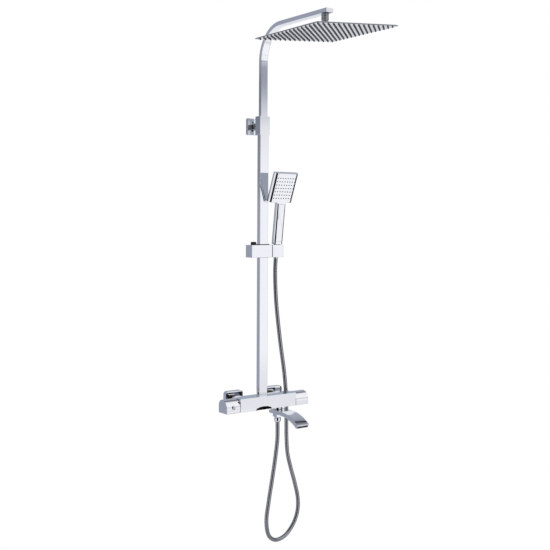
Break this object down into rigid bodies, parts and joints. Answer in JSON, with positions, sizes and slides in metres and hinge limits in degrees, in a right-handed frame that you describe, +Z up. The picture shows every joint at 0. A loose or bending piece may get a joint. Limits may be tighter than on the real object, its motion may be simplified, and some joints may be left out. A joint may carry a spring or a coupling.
{
  "type": "rainfall shower column",
  "caption": "Wall-mounted shower column: mixer bar with end knobs and waterfall spout, telescopic riser with square rain head, sliding holder with hand shower and spiral hose.",
  "frame": {"origin": "on the wall surface, midway between the two water inlets", "axes": "+X to the right of someone facing the wall, -Y from the wall toward that person, +Z up"},
  "size_m": [0.3199, 0.5, 1.6111],
  "materials": {
    "chromed_brass": "polished chrome plate",
    "chromed_steel": "polished chrome plate on stainless tube and sheet",
    "chromed_plastic": "bright chrome plate on moulded ABS",
    "raw_brass": "cast and machined",
    "stainless": "satin",
    "black_plastic": "fine moulded grain",
    "white_plastic": "acetal",
    "grey_silicone": "moulded silicone",
    "spiral_hose": "polished double-lock stainless spiral"
  },
  "bodies": {
    "column": {"cover_left": "chromed_brass", "cover_right": "chromed_brass", "union_left": "raw_brass", "union_right": "raw_brass", "union_nut_left": "chromed_brass", "union_nut_right": "chromed_brass", "inlet_filter_left": "grey_silicone", "inlet_filter_right": "grey_silicone", "mixer_shell": "chromed_brass", "mixer_core": "raw_brass", "arch_insert": "black_plastic", "thermo_cartridge": "raw_brass", "flow_cartridge": "raw_brass", "hose_outlet": "chromed_brass", "spout_ring": "chromed_brass", "column_lower": "chromed_steel", "bracket_collar": "chromed_brass", "collar_bush": "black_plastic", "collar_screw": "stainless", "bracket_plate": "chromed_brass", "bracket_anchor": "stainless", "bracket_stem": "chromed_brass", "hose_loop": "spiral_hose", "hose_rise": "spiral_hose"},
    "temp_knob": {"temp_knob": "chromed_plastic", "thermo_spindle": "stainless"},
    "safety_button": {"safety_button": "chromed_plastic"},
    "flow_knob": {"flow_knob": "chromed_plastic", "flow_spindle": "stainless"},
    "spout": {"spout_body": "chromed_brass", "spout_weir": "stainless"},
    "hose_nut": {"hose_nut": "chromed_brass"},
    "riser": {"column_upper": "chromed_steel", "riser_glide": "black_plastic", "arm_end_cap": "chromed_steel", "swivel_barrel": "chromed_brass", "swivel_retainer": "chromed_brass"},
    "head_pitch": {"ball_seat": "white_plastic"},
    "head_roll": {"ball_washer": "white_plastic"},
    "head": {"head_ball": "raw_brass", "head_hub": "chromed_brass", "head_pan": "chromed_steel", "head_mat": "grey_silicone", "head_face": "chromed_steel"},
    "slider": {"slider_block": "chromed_plastic", "slider_bush": "black_plastic", "slider_stop": "stainless", "slider_spring": "stainless", "holder_axle": "stainless", "holder_washer": "black_plastic"},
    "slider_button": {"slider_button": "black_plastic"},
    "holder": {"holder_block": "chromed_plastic"},
    "handset": {"handset_body": "chromed_plastic", "handset_collar": "chromed_plastic", "handset_face": "chromed_plastic", "handset_mat": "grey_silicone"},
    "hose_cone": {"hose_cone": "chromed_brass"}
  },
  "joints": [
    {"name": "temperature", "type": "hinge", "parent": "column", "child": "temp_knob", "pos_m": [0, -0.071, 0], "axis": [1, 0, 0], "range_deg": [-120, 60]},
    {"name": "safety_press", "type": "slide", "parent": "temp_knob", "child": "safety_button", "axis": [0, 1, 0], "range_m": [0, 0.0025], "stiffness_N_per_m": 800, "springref_m": -0.001},
    {"name": "flow", "type": "hinge", "parent": "column", "child": "flow_knob", "pos_m": [0, -0.071, 0], "axis": [1, 0, 0], "range_deg": [-90, 90]},
    {"name": "spout_swing", "type": "hinge", "parent": "column", "child": "spout", "pos_m": [0.05, -0.071, -0.03], "axis": [0, 0, 1], "range_deg": [-75, 75]},
    {"name": "hose_nut_swivel", "type": "hinge", "parent": "column", "child": "hose_nut", "pos_m": [0.05, -0.071, -0.06], "axis": [0, 0, 1], "continuous": true},
    {"name": "riser_height", "type": "slide", "parent": "column", "child": "riser", "axis": [0, 0, 1], "range_m": [-0.15, 0.12]},
    {"name": "head_pitch", "type": "hinge", "parent": "riser", "child": "head_pitch", "pos_m": [0, -0.356, 1.117], "axis": [1, 0, 0], "range_deg": [-10, 10]},
    {"name": "head_roll", "type": "hinge", "parent": "head_pitch", "child": "head_roll", "pos_m": [0, -0.356, 1.117], "axis": [0, 1, 0], "range_deg": [-6.9, 17.1]},
    {"name": "head_spin", "type": "hinge", "parent": "head_roll", "child": "head", "pos_m": [0, -0.356, 1.117], "axis": [-0.0889, 0, 0.996], "continuous": true},
    {"name": "slider_height", "type": "slide", "parent": "column", "child": "slider", "axis": [0, 0, 1], "range_m": [-0.3, 0.32], "deforming": ["hose_rise"]},
    {"name": "slider_press", "type": "slide", "parent": "slider", "child": "slider_button", "axis": [0, 0, -1], "range_m": [0, 0.004], "stiffness_N_per_m": 1500, "springref_m": -0.001, "deforming": ["slider_spring"]},
    {"name": "holder_tilt", "type": "hinge", "parent": "slider", "child": "holder", "pos_m": [0.0382, -0.056, 0.46575], "axis": [1, 0, 0], "range_deg": [0, 30]},
    {"name": "handset_lift", "type": "slide", "parent": "holder", "child": "handset", "axis": [0, -0.1323, 0.9912], "range_m": [0, 0.05]},
    {"name": "hose_cone_swivel", "type": "hinge", "parent": "handset", "child": "hose_cone", "pos_m": [0.05, -0.0594, 0.46575], "axis": [0, -0.1323, 0.9912], "continuous": true}
  ]
}
